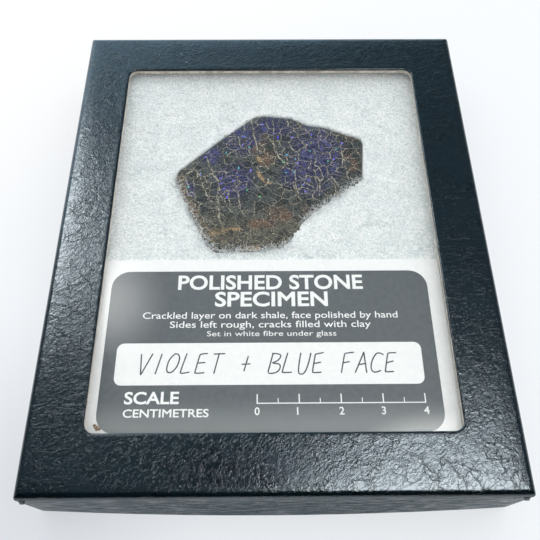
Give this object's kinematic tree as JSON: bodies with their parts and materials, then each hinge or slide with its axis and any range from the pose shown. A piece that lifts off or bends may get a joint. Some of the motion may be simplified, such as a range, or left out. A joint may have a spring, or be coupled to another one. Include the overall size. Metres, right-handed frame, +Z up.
{
  "type": "specimen display box",
  "caption": "Shallow paper-covered card box with a glass-windowed lift-off lid over white fibre that holds a polished fossil-shell slab and a printed card.",
  "frame": {"origin": "centre of the resting face, on the surface that the box lies on", "axes": "+Z up through the glass, +Y along the length from the card towards the slab, +X to the reader's right"},
  "size_m": [0.1172, 0.1426, 0.021],
  "materials": {
    "grey_board": "matte",
    "covering_paper": "satin",
    "stay_tape": "matte",
    "pane": "polished",
    "fibre": "matte",
    "shale": "matte",
    "shell": "gloss",
    "card": "satin"
  },
  "bodies": {
    "tray": {"tray_board": "grey_board", "tray_wrap": "covering_paper", "tray_corner_stay_front_left": "stay_tape", "tray_corner_stay_front_right": "stay_tape", "tray_corner_stay_rear_right": "stay_tape", "tray_corner_stay_rear_left": "stay_tape", "bottom_sheet": "covering_paper", "fibre_block": "fibre", "slab_shale": "shale", "slab_shell": "shell", "label_card": "card"},
    "lid": {"lid_board": "grey_board", "lid_wrap": "covering_paper", "lid_corner_stay_front_left": "stay_tape", "lid_corner_stay_front_right": "stay_tape", "lid_corner_stay_rear_right": "stay_tape", "lid_corner_stay_rear_left": "stay_tape", "window_glass": "pane", "glass_strip_front": "grey_board", "glass_strip_rear": "grey_board", "glass_strip_left": "grey_board", "glass_strip_right": "grey_board"}
  },
  "joints": [
    {"name": "lid_lift", "type": "slide", "parent": "tray", "child": "lid", "axis": [0, 0, 1], "range_m": [0, 0.03]}
  ]
}
